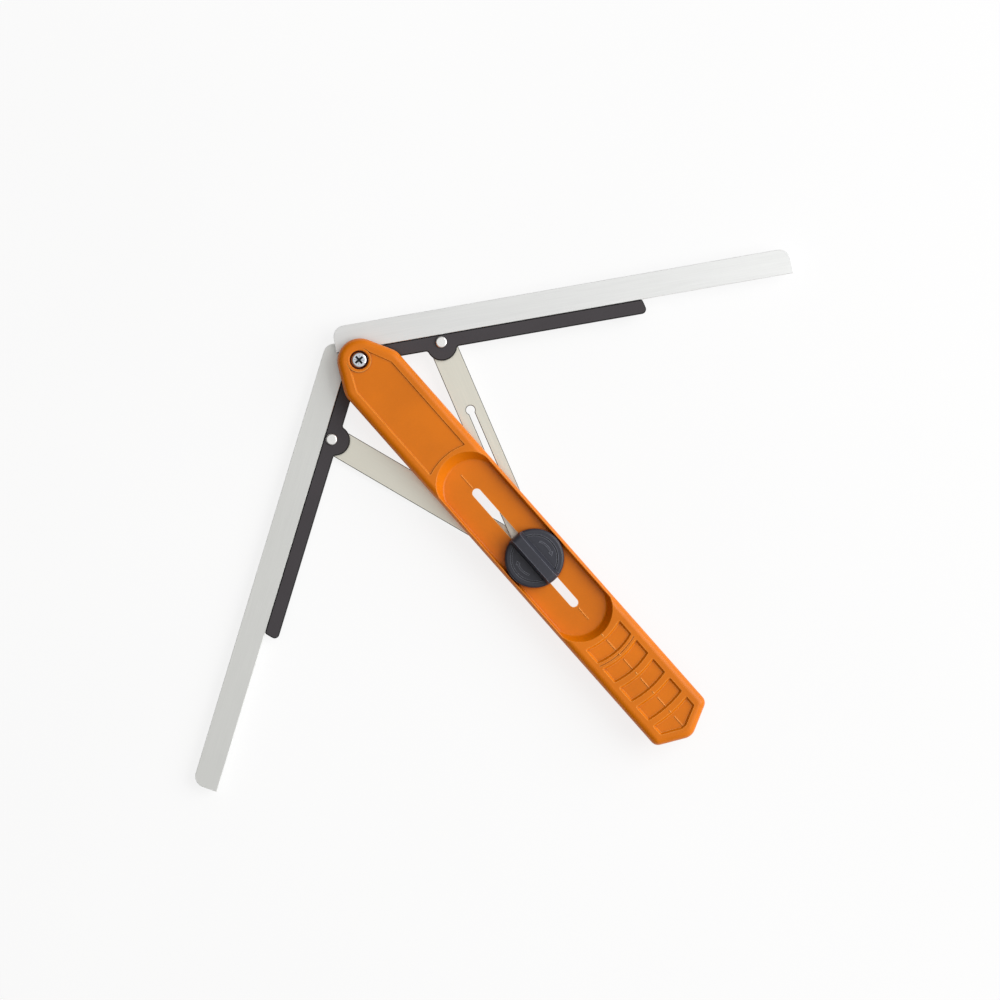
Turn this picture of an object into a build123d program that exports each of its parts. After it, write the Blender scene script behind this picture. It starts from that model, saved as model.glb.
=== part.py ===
from build123d import *
import os
from math import asin, atan2, cos, degrees, radians, sin, sqrt, tan

# Angle-bisecting sliding bevel. Millimetres, +Z up. The origin is on the pivot axis, at the plane the
# tool rests on. +X runs along the handle from the pivot to its tip; the upper leg is on the +Y side.

# ---- stack of layers, bottom to top ------------------------------------------------------------
GAP = 0.1                                  # free play between two layers
ARM_T = 1.5                                # link arm sheet
LEG_T = 3.0                                # leg bar and rail
Z_ARM_LOW = 2.0
Z_LEG_LOW = Z_ARM_LOW + ARM_T + GAP
Z_ARM_UP = Z_LEG_LOW + LEG_T + GAP
Z_LEG_UP = Z_ARM_UP + ARM_T + GAP
Z_HANDLE = Z_LEG_UP + LEG_T + 0.6
HANDLE_H = 10.1
Z_TOP = Z_HANDLE + HANDLE_H                # top face of the handle

# ---- linkage -----------------------------------------------------------------------------------
LEG_ANGLE = 58.4                           # each leg from the handle axis, at rest
RIVET_X, RIVET_Y = 49.2, 2.33              # arm rivet, in the leg's own frame
ARM_L = 138.2                              # rivet to clamp bolt
RIVET_ANGLE = radians(LEG_ANGLE) + atan2(RIVET_Y, RIVET_X)
RIVET_R = sqrt(RIVET_X**2 + RIVET_Y**2)
ARM_ANGLE = degrees(asin(RIVET_R * sin(RIVET_ANGLE) / ARM_L))
BOLT_X = RIVET_R * cos(RIVET_ANGLE) + ARM_L * cos(radians(ARM_ANGLE))

# ---- handle ------------------------------------------------------------------------------------
HALF_W = 20.0                              # half the handle's width
NOSE_X, NOSE_R = 0.85, 13.4                # round end over the pivot
TAPER = radians(27.2)                      # flare from the nose to the full width
TAIL_X, TIP_X = 284.6, 294.7               # tail corner, and the point before it is rounded
EDGE_R = 4.3                               # rounding of the upper edge
WALL = 2.4
SKIN = 2.6                                 # thickness of the moulded top
SEAM_Z = Z_HANDLE + 4.2                    # fine parting line round the side walls
WELL_FLOOR = Z_TOP - 6.0
SLOT_A, SLOT_B, SLOT_W = 101.5, 192.6, 5.3  # through slot for the clamp bolt
PAD_X, PAD_PITCH, PAD_L, PAD_HALF = 214.7, 14.9, 11.3, 13.3
PADS = 4
PAD_D, PANEL_D = 1.4, 0.7                  # depth of the grip pads and of the blank panel

# ---- legs and arms -----------------------------------------------------------------------------
BAR_IN, BAR_W, BAR_L = 6.8, 15.0, 273.0    # inner edge from the pivot line, width, length
BAR_START_UP, BAR_START_LOW = -12.7, -5.6  # near end of each bar along its leg
RAIL_IN, RAIL_END = -1.6, 171.0
BOSS_R, BOSS_Y, HUB_R = 9.0, RIVET_Y - 1.9, 11.4
TONGUE_W, TONGUE_T = 3.2, 1.0
TIE_X, TIE_PITCH, TIE_Y = 30.0, 42.0, 8.7    # small screws through bar and tongue
TIES = 4
ARM_W = 16.2
EYE_R = 2.7                                # clears the M5 bolt by 0.2
EYE_PATH = ((0, 0), (-0.1, 0.5), (0.9, 1.6), (2.3, 6.4), (0.95, 6.8))   # bolt centres inside the arm's eye
KEY_X, KEY_R, KEY_W, KEY_END = 43.4, 2.65, 3.4, 112.0

# ---- pivot, rivets, clamp ----------------------------------------------------------------------
SCREW_HEAD_R, COLLAR_R, CBORE_R = 4.9, 7.2, 5.5
SLEEVE_R, M5_R = 4.0, 2.5
RIVET_HEAD_R, RIVET_SHANK_R = 3.36, 2.0
KNOB_R, KNOB_H, BAR_TOP = 17.4, 5.6, 8.0


def cyl(radius, z0, z1, x=0, y=0):
    """Upright cylinder between two heights."""
    return Pos(x, y, z0) * extrude(Circle(radius), z1 - z0)


def plate(face, z0, z1):
    """Flat part of a given outline between two heights."""
    return Pos(0, 0, z0) * extrude(face, z1 - z0, dir=(0, 0, 1))


def dish(face, depth, slope=42):
    """Shallow recess cut down from the handle's top face, with sloping walls."""
    return Pos(0, 0, Z_TOP) * extrude(face, depth, dir=(0, 0, -1), taper=slope)


def bowed(x0, bow0, x1, bow1, half):
    """Outline between two ends bowed along X, with straight sides at +-half."""
    a, b = (x0, half), (x0, -half)
    c, d = (x1, -half), (x1, half)
    return make_face([ThreePointArc(a, (x0 + bow0, 0), b), Line(b, c),
                      ThreePointArc(c, (x1 + bow1, 0), d), Line(d, a)])


def mirrored(points):
    """Closed outline symmetric about the X axis, from its +Y half."""
    lower = [(x, -y) for x, y in points if y > 0]
    return Polygon(*lower, *reversed(points), align=None)


# ---- handle --------------------------------------------------------------------------------------

def handle_outline(inset=0.0):
    """Plan of the handle: round nose, flare, long straight sides, pointed tail."""
    r, half = NOSE_R - inset, HALF_W - inset
    tangent = (NOSE_X - r * sin(TAPER), r * cos(TAPER))
    shoulder = tangent[0] + (half - tangent[1]) / tan(TAPER)
    tail, tip = TAIL_X - inset * 0.6, TIP_X - inset * 1.1
    plan = mirrored([tangent, (shoulder, half), (tail, half), (tip, 0)]) + Pos(NOSE_X, 0) * Circle(r)
    plan = fillet(plan.vertices().filter_by(lambda v: abs(v.X - shoulder) < 0.1), 10)
    plan = fillet(plan.vertices().filter_by(lambda v: abs(v.X - tail) < 0.1), 5)
    return fillet(plan.vertices().filter_by(lambda v: abs(v.X - tip) < 0.1), 8)


def well_outline(x0, x1, radius, half):
    """Plan of the knob well at one height: both ends are arcs of the same radius."""
    sag = radius - sqrt(radius**2 - half**2)
    return bowed(x0 + sag, -sag, x1 - sag, sag, half)


def handle_well():
    """Deep well the knob slides in, with sloping ends."""
    floor = Pos(0, 0, WELL_FLOOR) * well_outline(83.8, 210.0, 18.3, 17.6)
    rim = Pos(0, 0, Z_TOP) * well_outline(78.1, 214.2, 19.5, 18.0)
    well = loft([floor, rim])
    return fillet(well.edges().group_by(Axis.Z)[0], 1.2)


def label_panel():
    """Shallow blank panel between the pivot collar and the well."""
    nose = Pos(0.8, 0) * Circle(7.7)
    body = make_face([Line((0, -7.6), (13.3, -13.7)), Line((13.3, -13.7), (78.6, -13.7)),
                      ThreePointArc((78.6, -13.7), (75.8, 0), (78.6, 13.7)),
                      Line((78.6, 13.7), (13.3, 13.7)), Line((13.3, 13.7), (0, 7.6)),
                      Line((0, 7.6), (0, -7.6))])
    panel = fillet((nose + body).vertices().filter_by(lambda v: v.X > 70), 0.6)
    return dish(panel, PANEL_D) - cyl(COLLAR_R, Z_TOP - 1, Z_TOP + 1)


def grip_pads():
    """Row of arched pads sunk into the tail, the last one pointed."""
    pads = []
    for i in range(PADS):
        x, bow = PAD_X + i * PAD_PITCH, 2.6 - 0.4 * i
        pad = bowed(x, bow, x + PAD_L, bow * 0.9, PAD_HALF)
        pads.append(dish(fillet(pad.vertices(), 1.0), PAD_D))
    x = PAD_X + PAD_L + 1.5
    pads.append(dish(bowed(x, 2.2, x + 0.8, 2.2, PAD_HALF), 0.35))
    x = PAD_X + PADS * PAD_PITCH
    end = make_face([ThreePointArc((x, PAD_HALF), (x + 1.3, 0), (x, -PAD_HALF)),
                     Line((x, -PAD_HALF), (281.7, -PAD_HALF)), Line((281.7, -PAD_HALF), (287.4, -1.6)),
                     Line((287.4, -1.6), (287.4, 1.6)), Line((287.4, 1.6), (281.7, PAD_HALF)),
                     Line((281.7, PAD_HALF), (x, PAD_HALF))])
    pads.append(dish(fillet(end.vertices(), 1.0), PAD_D))
    return pads


def ridge(x0, x1, z):
    """Fine raised line along the axis, roof-shaped in section."""
    section = Plane.YZ * Polygon((-0.5, -0.3), (0.5, -0.3), (0.5, 0), (0, 0.4), (-0.5, 0), align=None)
    return Pos(x0, 0, z) * extrude(section, x1 - x0)


def centre_ticks():
    """Raised line that marks the axis on the well floor, on the pads and on the bars between them."""
    ticks = [ridge(90.3, SLOT_A - 1.2, WELL_FLOOR), ridge(SLOT_B + 1.6, 203.0, WELL_FLOOR)]
    for i in range(PADS + 1):
        x = PAD_X + i * PAD_PITCH
        ticks.append(ridge(x + 4.6, x + 12.0, Z_TOP - PAD_D))
        ticks.append(ridge(x, x + 1.5, Z_TOP - 0.1))
    return ticks


def cavity(x0, x1, top):
    """Hollow in the underside between two stations, inside the side walls."""
    inner = handle_outline(WALL) & Pos((x0 + x1) / 2, 0) * Rectangle(x1 - x0, 3 * HALF_W)
    return plate(inner, Z_HANDLE, top)


def rib_grid(x0, x1, count, top):
    """Cross ribs and one long rib that stiffen a hollow."""
    step = (x1 - x0) / (count + 1)
    height = top - Z_HANDLE - 1.2
    z = top - height / 2
    ribs = Pos((x0 + x1) / 2, 0, z) * Box(x1 - x0 + 0.4, 1.6, height)
    for i in range(count):
        ribs += Pos(x0 + (i + 1) * step, 0, z) * Box(1.6, 2 * (HALF_W - WALL) + 0.2, height)
    return ribs


def make_handle():
    body = plate(handle_outline(), Z_HANDLE, Z_TOP)
    body = fillet(body.edges().group_by(Axis.Z)[-1], EDGE_R)
    body = fillet(body.edges().group_by(Axis.Z)[0], 0.6)
    body -= plate(handle_outline() - handle_outline(0.25), SEAM_Z, SEAM_Z + 0.3)
    body -= handle_well()
    rim = body.edges().filter_by(lambda e: e.center().Z > Z_TOP - 1 and 70 < e.center().X < 222)
    body = fillet(rim, 0.5)
    body -= label_panel()
    for pad in grip_pads():
        body -= pad
    for tick in centre_ticks():
        body += tick

    roof = Z_TOP - PAD_D - SKIN
    body -= cavity(16, 75, roof) - rib_grid(16, 75, 3, roof)
    body -= cavity(218, 300, roof) - rib_grid(218, 294, 4, roof)
    floor_under = WELL_FLOOR - SKIN
    flange = Pos((SLOT_A + SLOT_B) / 2, 0) * SlotOverall(SLOT_B - SLOT_A + 14, SLOT_W + 11)
    body -= cavity(79, 214, floor_under) - plate(flange, Z_HANDLE, floor_under)

    slot = Pos((SLOT_A + SLOT_B) / 2, 0) * SlotOverall(SLOT_B - SLOT_A, SLOT_W)
    body -= plate(slot, Z_HANDLE - 1, Z_TOP)
    bore = cyl(CBORE_R, Z_TOP - 3.6, Z_TOP)
    body -= bore
    circles = body.edges().filter_by(GeomType.CIRCLE)
    lip = circles.filter_by(lambda e: abs(e.radius - CBORE_R) < 0.01 and abs(e.center().Z - Z_TOP) < 0.01)
    body = fillet(lip, 0.8)
    body -= cyl(SLEEVE_R, Z_HANDLE - 1, Z_HANDLE + 2.0)
    return body - cyl(M5_R, Z_HANDLE - 1, Z_TOP)


# ---- pivot stack ---------------------------------------------------------------------------------

def make_pivot_screw():
    """Pan-head machine screw with a cross recess, its tip in the nut."""
    seat = Z_TOP - 3.6
    head = cyl(SCREW_HEAD_R, seat, seat + 3.0)
    head = fillet(head.edges().group_by(Axis.Z)[-1], 1.6)
    cross = Rectangle(5.6, 1.3) + Rectangle(1.3, 5.6)
    ticks = Rot(0, 0, 45) * (Rectangle(6.0, 0.35) + Rectangle(0.35, 6.0))
    head -= Pos(0, 0, seat + 3.0) * extrude(cross, 2.2, dir=(0, 0, -1), taper=8)
    head -= plate(ticks, seat + 2.6, seat + 3.1)
    return head + cyl(M5_R, 0.3, seat)


def make_pivot_sleeve():
    """Shoulder sleeve the legs turn on."""
    return cyl(SLEEVE_R, Z_LEG_LOW - GAP, Z_HANDLE + 2.0) - cyl(M5_R, 0, Z_TOP)


def make_pivot_nut():
    """Thin hexagon nut under the stack."""
    nut = plate(RegularPolygon(4.0, 6, major_radius=False), 0, 3.0)
    nut = chamfer(nut.edges().group_by(Axis.Z)[0], 0.35)
    return nut - cyl(M5_R, -1, 4)


def washer(outer, inner, z0, z1, x=0):
    """Flat ring with softened outer edges."""
    ring = cyl(outer, z0, z1, x)
    ring = chamfer(ring.edges(), min(0.15, (z1 - z0) / 4))
    return ring - cyl(inner, z0 - 1, z1 + 1, x)


# ---- legs, drawn along +X with the working edge on the +Y side -----------------------------------

def bar_outline(start):
    """Straight-edge bar: rounded outer corners, the far end cut back a little."""
    end, outer = start + BAR_L, BAR_IN + BAR_W
    plan = Polygon((start, BAR_IN), (end, BAR_IN), (end - 0.6, outer), (start, outer), align=None)
    plan = fillet(plan.vertices().filter_by(lambda v: v.Y > outer - 0.1 and v.X > 0), 6.8)
    return fillet(plan.vertices().filter_by(lambda v: v.Y > outer - 0.1 and v.X < 0), 6.6)


def tongue(z0):
    """Tongue along the rail's outer edge, running into the bar."""
    length = RAIL_END - 20
    return Pos((RAIL_END + 4) / 2, BAR_IN + TONGUE_W / 2, z0 + LEG_T / 2) * Box(length, TONGUE_W, TONGUE_T)


def tie_blank(z0, i):
    """Space one countersunk tie screw fills, its head flush underneath."""
    x = TIE_X + i * TIE_PITCH
    return cyl(0.75, z0, z0 + 2.5, x, TIE_Y) + Pos(x, TIE_Y, z0 + 0.4) * Cone(1.4, 0.75, 0.8)


def rail_screws(z0):
    """Small countersunk screws, set from below, that tie bar and tongue together."""
    screws = []
    for i in range(TIES):
        drive = Pos(TIE_X + i * TIE_PITCH, TIE_Y, z0 + 0.1) * Box(1.6, 0.35, 0.5)
        screws.append(tie_blank(z0, i) - drive)
    return Compound(children=screws)


def make_bar(start, z0):
    """Straight-edge bar with a groove for the tongue and holes for the tie screws."""
    bar = plate(bar_outline(start), z0, z0 + LEG_T)
    bar = chamfer(bar.edges().group_by(Axis.Z)[-1] + bar.edges().group_by(Axis.Z)[0], 0.25)
    bar -= tongue(z0)
    for i in range(TIES):
        bar -= tie_blank(z0, i)
    return bar


def rail_outline():
    """Hinge rail: hub over the pivot, boss over the arm rivet, slim rail to the end."""
    strip = Polygon((0, RAIL_IN), (RAIL_END + 1, RAIL_IN), (RAIL_END - 1.1, BAR_IN), (0, BAR_IN), align=None)
    strip = fillet(strip.vertices().filter_by(lambda v: v.X > 1 and v.Y < 0), 2.8)
    strip = fillet(strip.vertices().filter_by(lambda v: v.X > 1 and v.Y > 1), 1.5)
    plan = strip + Pos(RIVET_X, BOSS_Y) * Circle(BOSS_R) + Circle(HUB_R)
    plan &= Pos(RAIL_END / 2, BAR_IN - 50) * Rectangle(RAIL_END * 2, 100)
    corners = plan.vertices().filter_by(lambda v: abs(v.Y - RAIL_IN) < 0.01 and abs(v.X - RIVET_X) < 12)
    return fillet(corners, 1.6)


def make_rail(z0):
    """Hinge rail with its tongue, and a foot at the far end that reaches the resting plane."""
    rail = plate(rail_outline(), z0, z0 + LEG_T)
    rail = chamfer(rail.edges().group_by(Axis.Z)[-1], 0.65)
    rail = chamfer(rail.edges().group_by(Axis.Z)[0], 0.25)
    rail += tongue(z0)
    foot = Pos(RAIL_END - 12, (RAIL_IN + BAR_IN) / 2, z0 / 2 + 0.5) * Box(16, 6.4, z0 + 1)
    rail += fillet(foot.edges().filter_by(Axis.Z), 2.0)
    for i in range(TIES):
        rail -= tie_blank(z0, i)
    rail -= cyl(SLEEVE_R + 0.08, z0 - 1, z0 + LEG_T + 1)
    return rail - cyl(RIVET_SHANK_R, z0 - 1, z0 + LEG_T + 1, RIVET_X, RIVET_Y)


def make_rivet(z0):
    """Round-head rivet, its upset tail under the arm."""
    top, tail = z0 + LEG_T, z0 - GAP - ARM_T - GAP
    head = cyl(RIVET_HEAD_R, top, top + 1.1, RIVET_X, RIVET_Y)
    head = fillet(head.edges().group_by(Axis.Z)[-1], 0.8)
    foot = cyl(RIVET_HEAD_R, tail - 0.9, tail, RIVET_X, RIVET_Y)
    foot = fillet(foot.edges().group_by(Axis.Z)[0], 0.6)
    return head + cyl(RIVET_SHANK_R, tail, top, RIVET_X, RIVET_Y) + foot


def on_leg(shape, side):
    """Moves a part drawn in the leg's frame to the upper (+1) or lower (-1) leg."""
    if side < 0:
        shape = mirror(shape, about=Plane.XZ)
    return Rot(0, 0, side * LEG_ANGLE) * shape


# ---- link arms, drawn along +X from the rivet, the leg on the +Y side ----------------------------

def arm_outline():
    """Parallel strip with a round rivet end and a wider eye round the clamp bolt."""
    strip = Pos(ARM_L / 2, 0) * SlotCenterToCenter(ARM_L, ARM_W)
    eye = make_hull((Pos(ARM_L, 0) * Circle(ARM_W / 2)).edges()
                    + (Pos(ARM_L, 0) * bolt_eye(3.2)).edges()
                    + (Pos(ARM_L - 16, 0) * Circle(ARM_W / 2)).edges())
    return strip + eye


def bolt_eye(wall=0.0):
    """Space the clamp bolt moves in inside the eye: at rest in one end, else off to one side."""
    edges = ShapeList()
    for place in EYE_PATH:
        edges += (Pos(*place) * Circle(EYE_R + wall)).edges()
    return make_hull(edges)


def keyhole():
    """Narrow slot on the arm's centre line that starts in a round hole."""
    slit = Pos((KEY_X + KEY_END) / 2, 0) * Rectangle(KEY_END - KEY_X, KEY_W)
    return slit + Pos(KEY_X, 0) * Circle(KEY_R) + Pos(KEY_END, 0) * Circle(KEY_W / 2)


def make_arm(z0, side, slotted):
    plan = arm_outline() - Circle(RIVET_SHANK_R + 0.08) - Pos(ARM_L, 0) * bolt_eye()
    if slotted:
        plan -= keyhole()
    arm = plate(plan, z0, z0 + ARM_T)
    arm = chamfer(arm.edges().group_by(Axis.Z)[-1], 0.4)
    arm = chamfer(arm.edges().group_by(Axis.Z)[0], 0.2)
    if side < 0:
        arm = mirror(arm, about=Plane.XZ)
    x, y = RIVET_R * cos(RIVET_ANGLE), RIVET_R * sin(RIVET_ANGLE)
    return Pos(x, side * y) * Rot(0, 0, -side * ARM_ANGLE) * arm


# ---- clamp ---------------------------------------------------------------------------------------

def make_clamp_bolt():
    """Low-head bolt whose square neck is kept from turning by the handle's slot."""
    head = fillet(cyl(6.2, 0, Z_ARM_LOW - GAP, BOLT_X).edges().group_by(Axis.Z)[0], 0.6)
    neck = Pos(BOLT_X, 0, (Z_HANDLE + WELL_FLOOR) / 2) * Box(5.0, 5.0, WELL_FLOOR - Z_HANDLE)
    return head + cyl(M5_R, Z_ARM_LOW - GAP, WELL_FLOOR + 8.8, BOLT_X) + neck


def knob_marks(z):
    """Plain raised arcs either side of the grip bar."""
    ring = Circle(10.7) - Circle(9.7)
    mark = ring & Pos(-0.8, 9.5) * Rectangle(9, 5)
    mark += Pos(4.3, 9.2) * Rot(0, 0, -25) * RegularPolygon(1.5, 3)
    return plate(mark, z, z + 0.5) + plate(Rot(0, 0, 180) * mark, z, z + 0.5)


def make_knob():
    """Round knob with a grip bar across its full diameter."""
    z0 = WELL_FLOOR + GAP * 2 + 1.0
    z1 = z0 + KNOB_H
    disc = cyl(KNOB_R, z0, z1)
    disc = fillet(disc.edges().group_by(Axis.Z)[-1], 1.6)
    disc = chamfer(disc.edges().group_by(Axis.Z)[0], 0.4)
    disc -= cyl(14.0, z1 - 0.9, z1) - cyl(13.2, z1 - 1, z1 + 1)
    disc -= cyl(13.2, z1 - 0.5, z1)
    disc += knob_marks(z1 - 0.7)
    half, top = 5.2, 2.4
    section = Plane.YZ * Polygon((-half, z1 - 1.5), (half, z1 - 1.5), (half - 0.4, z1),
                                 (top + 0.4, z1 + BAR_TOP), (-top - 0.4, z1 + BAR_TOP), (-half + 0.4, z1),
                                 align=None)
    bar = Pos(-KNOB_R, 0, 0) * extrude(section, 2 * KNOB_R)
    bar &= fillet(cyl(KNOB_R - 0.2, z0, z1 + BAR_TOP).edges().group_by(Axis.Z)[-1], 3.5)
    knob = disc + bar
    for i in range(60):
        a = i * 6
        knob -= Rot(0, 0, a) * cyl(0.35, z0, z1 - 1.7, KNOB_R + 0.1)
    knob -= cyl(14.6, z0, z0 + 2.2) - cyl(6.0, z0, z0 + 2.2)
    knob -= cyl(4.0, z0, z0 + 8.0)
    return Pos(BOLT_X, 0) * knob


def make_knob_insert():
    """Threaded insert moulded into the knob."""
    z0 = WELL_FLOOR + GAP * 2 + 1.0
    insert = chamfer(cyl(4.0, z0, z0 + 8.0, BOLT_X).edges(), 0.3)
    return insert - cyl(M5_R + 0.05, z0 - 1, z0 + 9, BOLT_X)


def main():
    os.makedirs("parts", exist_ok=True)
    parts = {
        "handle": make_handle(),
        "pivot_screw": make_pivot_screw(),
        "pivot_sleeve": make_pivot_sleeve(),
        "pivot_nut": make_pivot_nut(),
        "pivot_washer_top": washer(9.0, SLEEVE_R, Z_LEG_UP + LEG_T + GAP, Z_HANDLE),
        "pivot_washer_middle": washer(9.0, SLEEVE_R, Z_ARM_UP, Z_ARM_UP + ARM_T),
        "pivot_washer_bottom": washer(9.0, M5_R, 3.0, Z_LEG_LOW - GAP),
        "spacer_low": washer(6.6, M5_R, Z_LEG_LOW, Z_LEG_LOW + LEG_T, BOLT_X),
        "spacer_high": washer(6.6, M5_R, Z_LEG_UP, Z_HANDLE - GAP, BOLT_X),
        "clamp_bolt": make_clamp_bolt(),
        "knob_washer": washer(6.6, M5_R, WELL_FLOOR + GAP, WELL_FLOOR + GAP + 1.0, BOLT_X),
        "knob": make_knob(),
        "knob_insert": make_knob_insert(),
    }
    for side, name, z_leg, z_arm, start in ((1, "upper", Z_LEG_UP, Z_ARM_UP, BAR_START_UP),
                                            (-1, "lower", Z_LEG_LOW, Z_ARM_LOW, BAR_START_LOW)):
        parts[f"leg_bar_{name}"] = on_leg(make_bar(start, z_leg), side)
        parts[f"hinge_rail_{name}"] = on_leg(make_rail(z_leg), side)
        parts[f"rail_screws_{name}"] = on_leg(rail_screws(z_leg), side)
        parts[f"rivet_{name}"] = on_leg(make_rivet(z_leg), side)
        parts[f"link_arm_{name}"] = make_arm(z_arm, side, side > 0)
    for name, shape in parts.items():
        export_step(shape, f"parts/{name}.step")


main()
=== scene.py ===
import math

import bpy
from mathutils import Matrix, Vector


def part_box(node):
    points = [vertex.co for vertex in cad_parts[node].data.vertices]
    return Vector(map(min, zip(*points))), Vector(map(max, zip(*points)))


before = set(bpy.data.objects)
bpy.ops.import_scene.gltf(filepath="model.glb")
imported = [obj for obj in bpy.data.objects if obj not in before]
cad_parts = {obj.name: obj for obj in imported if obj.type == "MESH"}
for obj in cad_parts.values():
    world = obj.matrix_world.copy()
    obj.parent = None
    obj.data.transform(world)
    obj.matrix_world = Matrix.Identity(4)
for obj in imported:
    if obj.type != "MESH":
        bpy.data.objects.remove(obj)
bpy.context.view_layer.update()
scene = bpy.context.scene

LEG_ANGLE = math.radians(58.4)      # each leg from the handle's axis
ARM_ANGLE = math.radians(18.18)     # each link arm from the handle's axis
VIEW_TURN = math.radians(48.5)      # the camera's turn from the handle's axis

# World directions seen as right and up in the picture, and the point at its centre.
RIGHT = Vector((math.cos(VIEW_TURN), math.sin(VIEW_TURN), 0))
UP = Vector((-math.sin(VIEW_TURN), math.cos(VIEW_TURN), 0))
OVERHEAD = Vector((0, 0, 1))
CENTRE = Vector((0.1162, 0.0075, 0))
VIEW_WIDTH = 0.59                   # metres across the picture at the floor
CAMERA_HEIGHT = 3.0
SENSOR = 36                         # mm

FLOOR_SIZE = 8
FLOOR_Z = -0.0004                   # just under the resting face
FLOOR_GLOW = 0.8                    # keeps the floor near white in soft shade
KEY_OFFSET = RIGHT * 1.65 + UP * 0.4 + OVERHEAD * 1.4
KEY_SIZE, KEY_POWER = 2.0, 41
BRIGHT_AXIS = (RIGHT * 0.75 + OVERHEAD * 0.66).normalized()    # where the surround is brightest
BRIGHT_SPAN = (-0.15, 0.8, 0.0, 0.74)    # from and to along that axis, and the strength at each
ZENITH_SPAN = (0.8, 1.0, 0.0, 0.2)       # the same for height, added to it
WARM = (1.0, 0.86, 0.76, 1)              # tint of the surround's dark side


# ---- materials -----------------------------------------------------------------------------------

SPAN_SOCKETS = ("From Min", "From Max", "To Min", "To Max")


class Nodes:
    """A new material, with methods that add and link its shader nodes."""

    def __init__(self, name):
        self.mat = bpy.data.materials.new(name)
        self.mat.use_nodes = True
        self.tree = self.mat.node_tree
        self.shader = self.tree.nodes["Principled BSDF"]
        self.coord = self.tree.nodes.new("ShaderNodeTexCoord")

    def add(self, kind, **props):
        node = self.tree.nodes.new(kind)
        for key, value in props.items():
            setattr(node, key, value)
        return node

    def link(self, a, b):
        self.tree.links.new(a, b)

    def mapping(self, turn, scale):
        """Object coordinates turned about Z, then scaled."""
        turned = self.add("ShaderNodeMapping")
        turned.inputs["Rotation"].default_value = (0, 0, turn)
        self.link(self.coord.outputs["Object"], turned.inputs["Vector"])
        node = self.add("ShaderNodeMapping")
        node.inputs["Scale"].default_value = scale
        self.link(turned.outputs["Vector"], node.inputs["Vector"])
        return node.outputs["Vector"]

    def noise(self, scale, detail, vector=None, rough=0.5):
        node = self.add("ShaderNodeTexNoise")
        node.inputs["Scale"].default_value = scale
        node.inputs["Detail"].default_value = detail
        node.inputs["Roughness"].default_value = rough
        self.link(vector or self.coord.outputs["Object"], node.inputs["Vector"])
        return node.outputs["Fac"]

    def ramp(self, source, *stops):
        """Colour ramp of (position, colour or grey value) stops."""
        node = self.add("ShaderNodeValToRGB")
        ramp = node.color_ramp
        while len(ramp.elements) < len(stops):
            ramp.elements.new(0.5)
        for element, (place, value) in zip(ramp.elements, stops):
            element.position = place
            colour = (value,) * 3 if isinstance(value, (int, float)) else value
            element.color = (*colour, 1)
        self.link(source, node.inputs["Fac"])
        return node.outputs["Color"]

    def edges(self, radius):
        """White where the surface turns sharply, black on flat faces."""
        bevel = self.add("ShaderNodeBevel", samples=6)
        bevel.inputs["Radius"].default_value = radius
        geometry = self.add("ShaderNodeNewGeometry")
        dot = self.add("ShaderNodeVectorMath", operation="DOT_PRODUCT")
        self.link(bevel.outputs["Normal"], dot.inputs[0])
        self.link(geometry.outputs["Normal"], dot.inputs[1])
        return self.ramp(dot.outputs["Value"], (0.86, 1.0), (0.995, 0.0))

    def flanks(self):
        """White on side walls and chamfers, black on faces that look straight up or down."""
        split = self.add("ShaderNodeSeparateXYZ")
        self.link(self.coord.outputs["Normal"], split.inputs["Vector"])
        level = self.add("ShaderNodeMath", operation="ABSOLUTE")
        self.link(split.outputs["Z"], level.inputs[0])
        return self.span(level.outputs["Value"], 0.98, 0.85, 0, 1)

    def crevices(self, reach):
        """White deep in grooves and corners, black in the open."""
        node = self.add("ShaderNodeAmbientOcclusion", samples=8)
        node.inputs["Distance"].default_value = reach
        return self.ramp(node.outputs["AO"], (0.40, 1.0), (0.93, 0.0))

    def disc_below(self, x, y, radius, z_dark, z_clear):
        """White inside an upright cylinder below z_dark, black outside it and above z_clear."""
        moved = self.add("ShaderNodeVectorMath", operation="SUBTRACT")
        moved.inputs[1].default_value = (x, y, 0)
        self.link(self.coord.outputs["Object"], moved.inputs[0])
        split = self.add("ShaderNodeSeparateXYZ")
        self.link(moved.outputs["Vector"], split.inputs["Vector"])
        flat = self.add("ShaderNodeCombineXYZ")
        self.link(split.outputs["X"], flat.inputs["X"])
        self.link(split.outputs["Y"], flat.inputs["Y"])
        distance = self.add("ShaderNodeVectorMath", operation="LENGTH")
        self.link(flat.outputs["Vector"], distance.inputs[0])
        near = self.span(distance.outputs["Value"], radius * 1.05, radius, 0, 1)
        deep = self.span(split.outputs["Z"], z_clear, z_dark, 0, 1)
        return self.mix(1.0, near, deep, "MULTIPLY")

    def span(self, source, low, high, out_low, out_high):
        """Maps one range of values to another, held at both ends."""
        node = self.add("ShaderNodeMapRange")
        for socket, value in zip(SPAN_SOCKETS, (low, high, out_low, out_high)):
            node.inputs[socket].default_value = value
        self.link(source, node.inputs["Value"])
        return node.outputs["Result"]

    def mix(self, factor, a, b, mode="MIX"):
        """Blends b over a, or multiplies them; inputs are numbers, linear colours or sockets."""
        node = self.add("ShaderNodeMix", data_type="RGBA", blend_type=mode)
        for socket, value in ((node.inputs["Factor"], factor), (node.inputs["A"], a), (node.inputs["B"], b)):
            if isinstance(value, (int, float)):
                socket.default_value = value
            elif isinstance(value, tuple):
                socket.default_value = (*value, 1)
            else:
                self.link(value, socket)
        return node.outputs["Result"]

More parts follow.
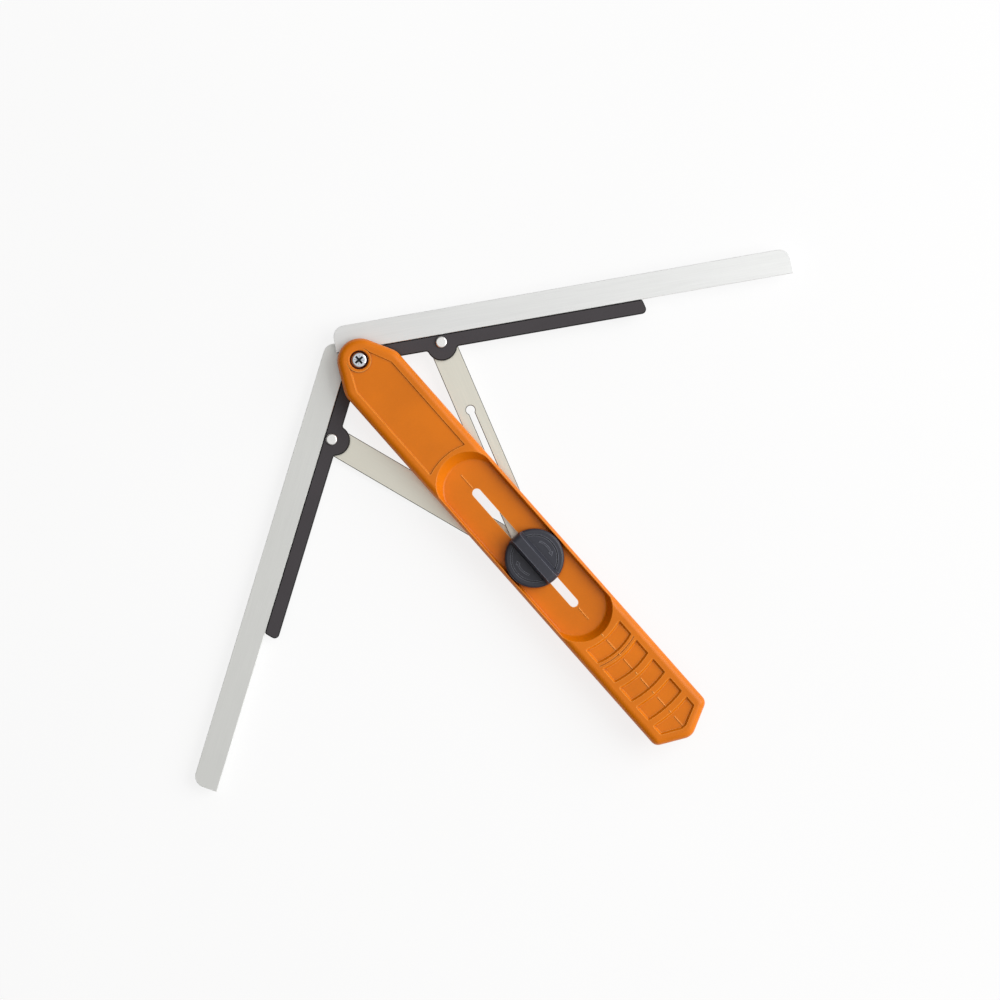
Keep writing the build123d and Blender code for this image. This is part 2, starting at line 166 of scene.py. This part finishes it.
    def bump(self, *layers):
        """Stacks bump layers of (height, strength, distance)."""
        normal = None
        for height, strength, distance in layers:
            node = self.add("ShaderNodeBump")
            node.inputs["Strength"].default_value = strength
            node.inputs["Distance"].default_value = distance
            self.link(height, node.inputs["Height"])
            if normal:
                self.link(normal, node.inputs["Normal"])
            normal = node.outputs["Normal"]
        self.link(normal, self.shader.inputs["Normal"])

    def set(self, **values):
        """Sets or links inputs of the shader, named with underscores for spaces."""
        for key, value in values.items():
            socket = self.shader.inputs[key.replace("_", " ")]
            if isinstance(value, (int, float)):
                socket.default_value = value
            elif isinstance(value, tuple):
                socket.default_value = (*value, 1)
            else:
                self.link(value, socket)


def srgb(r, g, b):
    """Linear colour from display values of 0 to 255."""
    return tuple((c / 255 / 12.92) if c <= 10 else ((c / 255 + 0.055) / 1.055) ** 2.4 for c in (r, g, b))


def shade(colour, k):
    """Colour made k times as bright, up to white."""
    return tuple(min(1.0, c * k) for c in colour)


def moulded_plastic(name, colour, painted_edge, crevice_shade, rough, side=None, grain=0.25, gloss=0.3,
                    edge=0.0007, edge_paint_range=(0.5, 0.95)):
    """Moulded plastic: fine grain, slow colour drift, painted highlight along edges and painted shade in the
    corners.

    side is a colour of their own for the side walls and chamfers, painted there as painted shade; edge is
    the width of the painted edge band in metres, and the last argument the least and the most of that band.
    A darker edge colour paints a dark edge line instead of a highlight.
    """
    n = Nodes(name)
    slow = n.noise(38, 4)
    base = n.ramp(slow, (0.3, shade(colour, 0.93)), (0.7, shade(colour, 1.06)))
    speck = n.ramp(n.noise(900, 2), (0.45, 0.0), (0.75, 0.12))
    base = n.mix(speck, base, shade(colour, 1.25))
    # painted shade: side walls and chamfers in a colour of their own
    if side:
        base = n.mix(n.flanks(), base, side)
    # painted highlight along sharp edges, in patches (a darker edge colour paints a dark edge line)
    edge_paint_patches = n.ramp(n.noise(120, 3), (0.3, edge_paint_range[0]), (0.7, edge_paint_range[1]))
    base = n.mix(n.mix(1.0, n.edges(edge), edge_paint_patches, "MULTIPLY"), base, painted_edge)
    # painted shade deep in grooves and corners, in patches
    shade_patches = n.ramp(n.noise(90, 4), (0.3, 0.75), (0.7, 1.0))
    base = n.mix(n.mix(1.0, n.crevices(0.002), shade_patches, "MULTIPLY"), base, crevice_shade)
    roughness = n.ramp(n.noise(260, 4), (0.3, rough - 0.06), (0.75, rough + 0.08))
    n.set(Base_Color=base, Roughness=roughness, Specular_IOR_Level=gloss)
    n.bump((n.noise(2600, 2), grain, 0.00012), (n.noise(420, 3), grain * 0.5, 0.0002))
    return n.mat


def brushed_metal(name, colour, turn, rough, edge=1.12):
    """Satin metal with faint stains and a grain along one direction.

    turn brings that direction onto X, and edge is how much brighter the side walls and chamfers are painted,
    as painted highlight; below 1 they are painted darker, as painted shade.
    """
    n = Nodes(name)
    along = n.mapping(turn, (35, 2600, 2600))
    fine = n.noise(1.0, 4, along)
    base = n.ramp(fine, (0.25, shade(colour, 0.96)), (0.75, shade(colour, 1.02)))
    stain = n.ramp(n.noise(28, 5), (0.4, 0.0), (0.8, 0.12))
    base = n.mix(stain, base, shade(colour, 0.86))
    # painted highlight on side walls and chamfers, or painted shade where edge is below 1
    base = n.mix(n.flanks(), base, shade(colour, edge))
    roughness = n.ramp(fine, (0.2, rough - 0.07), (0.8, rough + 0.09))
    n.set(Base_Color=base, Roughness=roughness, Metallic=1.0)
    n.bump((fine, 0.10, 0.00005), (n.noise(160, 3), 0.05, 0.0002))
    return n.mat


def turned_metal(name, colour, rough, recess=None):
    """Plated or bright metal of small hardware, with faint scuffs, a painted highlight along its edges and
    painted shade in a recess if one is given.

    recess is the place of that recess, painted nearly black as painted shade, as disc_below takes it.
    """
    n = Nodes(name)
    scuff = n.noise(1500, 5, rough=0.7)
    base = n.ramp(scuff, (0.3, shade(colour, 0.9)), (0.7, shade(colour, 1.05)))
    # painted highlight along sharp edges
    base = n.mix(n.edges(0.0003), base, shade(colour, 1.15))
    if recess:
        # painted shade: the recess made nearly black
        base = n.mix(n.disc_below(*recess), base, shade(colour, 0.03))
    n.set(Base_Color=base, Metallic=1.0, Roughness=n.ramp(scuff, (0.3, rough - 0.05), (0.75, rough + 0.12)))
    n.bump((scuff, 0.08, 0.00005))
    return n.mat


# each plastic's pale edge colour is a painted highlight (the charcoal's darker one a painted dark edge
# line), its dark corner colour painted shade, and the charcoal's near-black side colour painted shade on its
# side walls
ORANGE = moulded_plastic("orange_plastic", srgb(222, 118, 0), painted_edge=srgb(255, 186, 96),
                         crevice_shade=srgb(116, 22, 0), rough=0.36, gloss=0.27, edge=0.0008, edge_paint_range=(0.6, 1.0))
SLATE = moulded_plastic("slate_plastic", srgb(52, 53, 62), painted_edge=srgb(150, 152, 164),
                        crevice_shade=srgb(16, 17, 22), rough=0.4, grain=0.5, gloss=0.4, edge=0.0006)
CHARCOAL = moulded_plastic("charcoal_plastic", srgb(66, 62, 65), painted_edge=srgb(58, 55, 58),
                           crevice_shade=srgb(16, 15, 16), side=srgb(8, 8, 9), rough=0.5, grain=0.3, edge=0.0005)
NYLON = moulded_plastic("nylon", srgb(226, 222, 208), painted_edge=srgb(238, 234, 222), crevice_shade=srgb(150, 146, 134),
                        rough=0.4)
# the lower bar is a touch darker than the upper: lit and shaded copies of one aluminium, a painted shade
BAR_UPPER_LIT = brushed_metal("bar_aluminium_upper_lit", srgb(235, 236, 235), -LEG_ANGLE, 0.46)
BAR_LOWER_SHADED = brushed_metal("bar_aluminium_lower_shaded", srgb(230, 231, 228), LEG_ANGLE, 0.46)
# the arms' side walls are painted dark, as painted shade
ARM_UPPER, ARM_LOWER = (
    brushed_metal(f"arm_steel_{where}", srgb(232, 229, 216), turn, 0.38, edge=0.22)
    for where, turn in (("upper", ARM_ANGLE), ("lower", -ARM_ANGLE)))
RIVET = turned_metal("rivet_steel", srgb(252, 251, 248), 0.3)
SCREW_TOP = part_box("pivot_screw")[1][2]
CROSS_R = 0.0031                    # past the ends of the screw's cross recess
# the screw's cross recess is painted nearly black, as painted shade
CHROME = turned_metal("screw_chrome", srgb(222, 226, 232), 0.1,
                      recess=(0, 0, CROSS_R, SCREW_TOP - 0.0005, SCREW_TOP - 0.0002))
ZINC = turned_metal("hardware_zinc", srgb(190, 190, 186), 0.3)
BRASS = turned_metal("insert_brass", srgb(206, 168, 96), 0.25)

LOOK = {
    "handle": ORANGE, "knob": SLATE, "hinge_rail_upper": CHARCOAL, "hinge_rail_lower": CHARCOAL,
    "leg_bar_upper": BAR_UPPER_LIT, "leg_bar_lower": BAR_LOWER_SHADED,
    "link_arm_upper": ARM_UPPER, "link_arm_lower": ARM_LOWER,
    "rivet_upper": RIVET, "rivet_lower": RIVET, "pivot_screw": CHROME, "pivot_washer_top": NYLON,
    "pivot_washer_middle": NYLON, "knob_insert": BRASS,
}
for name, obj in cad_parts.items():
    obj.data.materials.clear()
    obj.data.materials.append(LOOK.get(name, ZINC))


# ---- floor, light, camera ------------------------------------------------------------------------

def make_floor():
    """Plain pale floor under the tool."""
    bpy.ops.mesh.primitive_plane_add(size=FLOOR_SIZE, location=(0.1, 0, FLOOR_Z))
    floor = bpy.context.object
    floor.name = "floor"
    n = Nodes("floor_paper")
    n.set(Base_Color=n.ramp(n.noise(3, 2), (0.3, 0.175), (0.7, 0.19)), Roughness=0.85,
          Specular_IOR_Level=0.1, Emission_Color=(1, 1, 1), Emission_Strength=FLOOR_GLOW)
    floor.data.materials.append(n.mat)


def make_key():
    """One soft box high on the right."""
    data = bpy.data.lights.new("key", "AREA")
    data.size = KEY_SIZE
    data.energy = KEY_POWER
    light = bpy.data.objects.new("key", data)
    scene.collection.objects.link(light)
    light.location = CENTRE + KEY_OFFSET
    light.rotation_euler = (-KEY_OFFSET).to_track_quat("-Z", "Y").to_euler()


def make_surround():
    """Surround that is bright overhead and on the right, and darker and warmer to the left."""
    world = bpy.data.worlds.new("surround")
    world.use_nodes = True
    tree = world.node_tree
    coord = tree.nodes.new("ShaderNodeTexCoord")
    dot = tree.nodes.new("ShaderNodeVectorMath")
    dot.operation = "DOT_PRODUCT"
    dot.inputs[1].default_value = BRIGHT_AXIS
    tree.links.new(coord.outputs["Generated"], dot.inputs[0])
    split = tree.nodes.new("ShaderNodeSeparateXYZ")
    tree.links.new(coord.outputs["Generated"], split.inputs["Vector"])
    total = tree.nodes.new("ShaderNodeMath")
    total.operation = "ADD"
    spans = ((dot.outputs["Value"], BRIGHT_SPAN), (split.outputs["Z"], ZENITH_SPAN))
    for i, (source, values) in enumerate(spans):
        span = tree.nodes.new("ShaderNodeMapRange")
        for socket, value in zip(SPAN_SOCKETS, values):
            span.inputs[socket].default_value = value
        tree.links.new(source, span.inputs["Value"])
        tree.links.new(span.outputs["Result"], total.inputs[i])
    tree.links.new(total.outputs["Value"], tree.nodes["Background"].inputs["Strength"])
    tint = tree.nodes.new("ShaderNodeValToRGB")
    tint.color_ramp.elements[0].color = WARM
    tint.color_ramp.elements[1].position = 0.5
    tree.links.new(dot.outputs["Value"], tint.inputs["Fac"])
    tree.links.new(tint.outputs["Color"], tree.nodes["Background"].inputs["Color"])
    scene.world = world


def make_camera():
    """Straight overhead, turned so that the handle runs down to the right."""
    data = bpy.data.cameras.new("camera")
    data.sensor_width = SENSOR
    data.lens = SENSOR * CAMERA_HEIGHT / VIEW_WIDTH
    camera = bpy.data.objects.new("camera", data)
    scene.collection.objects.link(camera)
    axes = Matrix((RIGHT, UP, OVERHEAD)).transposed().to_4x4()
    camera.matrix_world = Matrix.Translation(CENTRE + OVERHEAD * CAMERA_HEIGHT) @ axes
    scene.camera = camera


make_floor()
make_key()
make_surround()
make_camera()
scene.view_settings.view_transform = "Standard"
